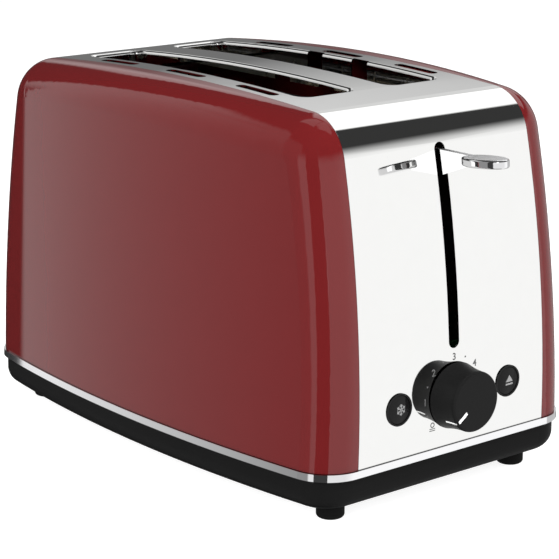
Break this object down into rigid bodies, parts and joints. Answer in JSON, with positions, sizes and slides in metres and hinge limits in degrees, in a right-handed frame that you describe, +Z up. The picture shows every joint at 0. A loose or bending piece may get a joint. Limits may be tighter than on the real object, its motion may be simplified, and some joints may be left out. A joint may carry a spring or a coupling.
{
  "type": "pop up toaster",
  "caption": "Pop up toaster with glossy coloured side shells, a mirror polished wrap-over panel, a sprung carriage lever, a browning dial, push buttons and a slide-out crumb tray.",
  "frame": {"origin": "centre of the whole object's footprint, on the surface it stands on", "axes": "+Z up, -Y towards the front panel with the lever and dial, +X to the right when the front is faced"},
  "size_m": [0.1832, 0.3157, 0.1937],
  "materials": {
    "coloured_shell": "gloss",
    "polished_panel": "mirror polished",
    "chrome": "polished",
    "black_moulding": "satin",
    "foot_rubber": "matte",
    "control_black": "satin",
    "button_black": "gloss",
    "zinc_steel": "zinc plated",
    "bright_wire": "bright wire",
    "copper_winding": "enamelled wire",
    "mica": "matt",
    "heater_ribbon": "oxidised",
    "board_green": "gloss",
    "component_black": "satin"
  },
  "bodies": {
    "housing": {"wrap_panel": "polished_panel", "left_side_shell": "coloured_shell", "right_side_shell": "coloured_shell", "trim_band": "chrome", "base_moulding": "black_moulding", "base_screws": "bright_wire", "cord_gland": "black_moulding", "terminal_block": "black_moulding", "front_chassis_plate": "zinc_steel", "rear_chassis_plate": "zinc_steel", "left_heat_shield": "zinc_steel", "right_heat_shield": "zinc_steel", "guide_rod": "bright_wire", "rod_seat": "black_moulding", "return_spring": "bright_wire", "magnet_core": "bright_wire", "magnet_coil": "copper_winding", "control_board": "board_green", "board_posts": "black_moulding", "potentiometer": "component_black", "mains_contacts": "black_moulding", "defrost_button_bezel": "button_black", "defrost_switch": "component_black", "cancel_button_bezel": "button_black", "cancel_switch": "component_black", "left_mica_card": "mica", "left_heater_winding": "heater_ribbon", "centre_mica_card": "mica", "centre_heater_winding": "heater_ribbon", "right_mica_card": "mica", "right_heater_winding": "heater_ribbon", "left_inner_guard": "bright_wire", "left_outer_guard": "bright_wire", "right_inner_guard": "bright_wire", "right_outer_guard": "bright_wire", "foot_front_left": "foot_rubber", "foot_front_right": "foot_rubber", "foot_rear_left": "foot_rubber", "foot_rear_right": "foot_rubber"},
    "carriage": {"carriage_bracket": "zinc_steel", "armature_plate": "bright_wire", "lever_arm": "zinc_steel", "lever_knob": "chrome", "left_bread_lifter": "zinc_steel", "right_bread_lifter": "zinc_steel"},
    "browning_dial": {"browning_knob": "control_black", "dial_shaft": "bright_wire"},
    "defrost_push": {"defrost_button": "button_black"},
    "cancel_push": {"cancel_button": "button_black"},
    "tray": {"crumb_tray": "zinc_steel"}
  },
  "joints": [
    {"name": "carriage_slide", "type": "slide", "parent": "housing", "child": "carriage", "axis": [0, 0, -1], "range_m": [0, 0.076], "stiffness_N_per_m": 60, "springref_m": -0.06, "deforming": ["return_spring"]},
    {"name": "browning_dial_turn", "type": "hinge", "parent": "housing", "child": "browning_dial", "pos_m": [0, -0.12679, 0.0524], "axis": [0, 1, 0], "range_deg": [0, 260]},
    {"name": "defrost_push", "type": "slide", "parent": "housing", "child": "defrost_push", "axis": [0, 1, 0], "range_m": [0, 0.0015], "stiffness_N_per_m": 800, "springref_m": -0.001},
    {"name": "cancel_push", "type": "slide", "parent": "housing", "child": "cancel_push", "axis": [0, 1, 0], "range_m": [0, 0.0015], "stiffness_N_per_m": 800, "springref_m": -0.001},
    {"name": "crumb_tray_slide", "type": "slide", "parent": "housing", "child": "tray", "axis": [0, 1, 0], "range_m": [0, 0.2]}
  ]
}
